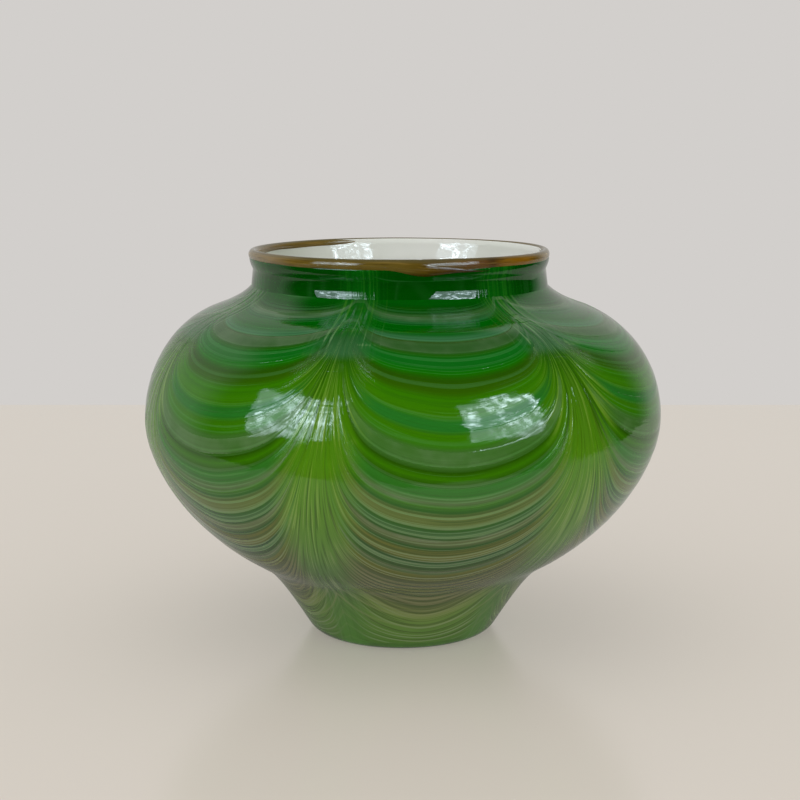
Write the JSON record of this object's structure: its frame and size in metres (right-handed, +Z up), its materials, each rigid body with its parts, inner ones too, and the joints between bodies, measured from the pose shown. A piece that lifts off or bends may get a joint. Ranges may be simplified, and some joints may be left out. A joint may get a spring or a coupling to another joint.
{
  "type": "glass vase",
  "caption": "Squat round art glass vase with a small foot, a short neck, an amber lip wrap and combed green, teal, silver and tan trails over an opal lining.",
  "frame": {"origin": "centre of the foot's rest ring, on the table", "axes": "+Z up along the vase's axis; the front, seen in the picture, faces -Y; +X is to the right seen from the front"},
  "size_m": [0.2015, 0.2013, 0.15],
  "materials": {
    "opal_glass": "opaque white opal glass, fire polished and glossy",
    "green_glass": "green art glass over opal, opaque in effect, fire polished and glossy",
    "amber_glass": "streaked amber brown glass, fire polished and glossy",
    "umber_thread_glass": "grey brown glass thread, melted in and glossy",
    "tan_trail_glass": "tan glass trail, melted in and glossy",
    "teal_trail_glass": "teal green glass trail, melted in and glossy",
    "silver_trail_glass": "silver green glass trail, melted in and glossy"
  },
  "bodies": {
    "root": {"opal_lining": "opal_glass", "green_casing": "green_glass", "lip_wrap": "amber_glass", "thread_1": "umber_thread_glass", "thread_2": "umber_thread_glass", "thread_3": "umber_thread_glass", "thread_4": "umber_thread_glass", "tan_trail_1": "tan_trail_glass", "tan_trail_2": "tan_trail_glass", "tan_trail_3": "tan_trail_glass", "teal_trail_1": "teal_trail_glass", "teal_trail_2": "teal_trail_glass", "teal_trail_3": "teal_trail_glass", "silver_trail_1": "silver_trail_glass", "silver_trail_2": "silver_trail_glass", "silver_trail_3": "silver_trail_glass", "silver_trail_4": "silver_trail_glass", "silver_trail_5": "silver_trail_glass", "silver_trail_6": "silver_trail_glass"}
  },
  "joints": []
}
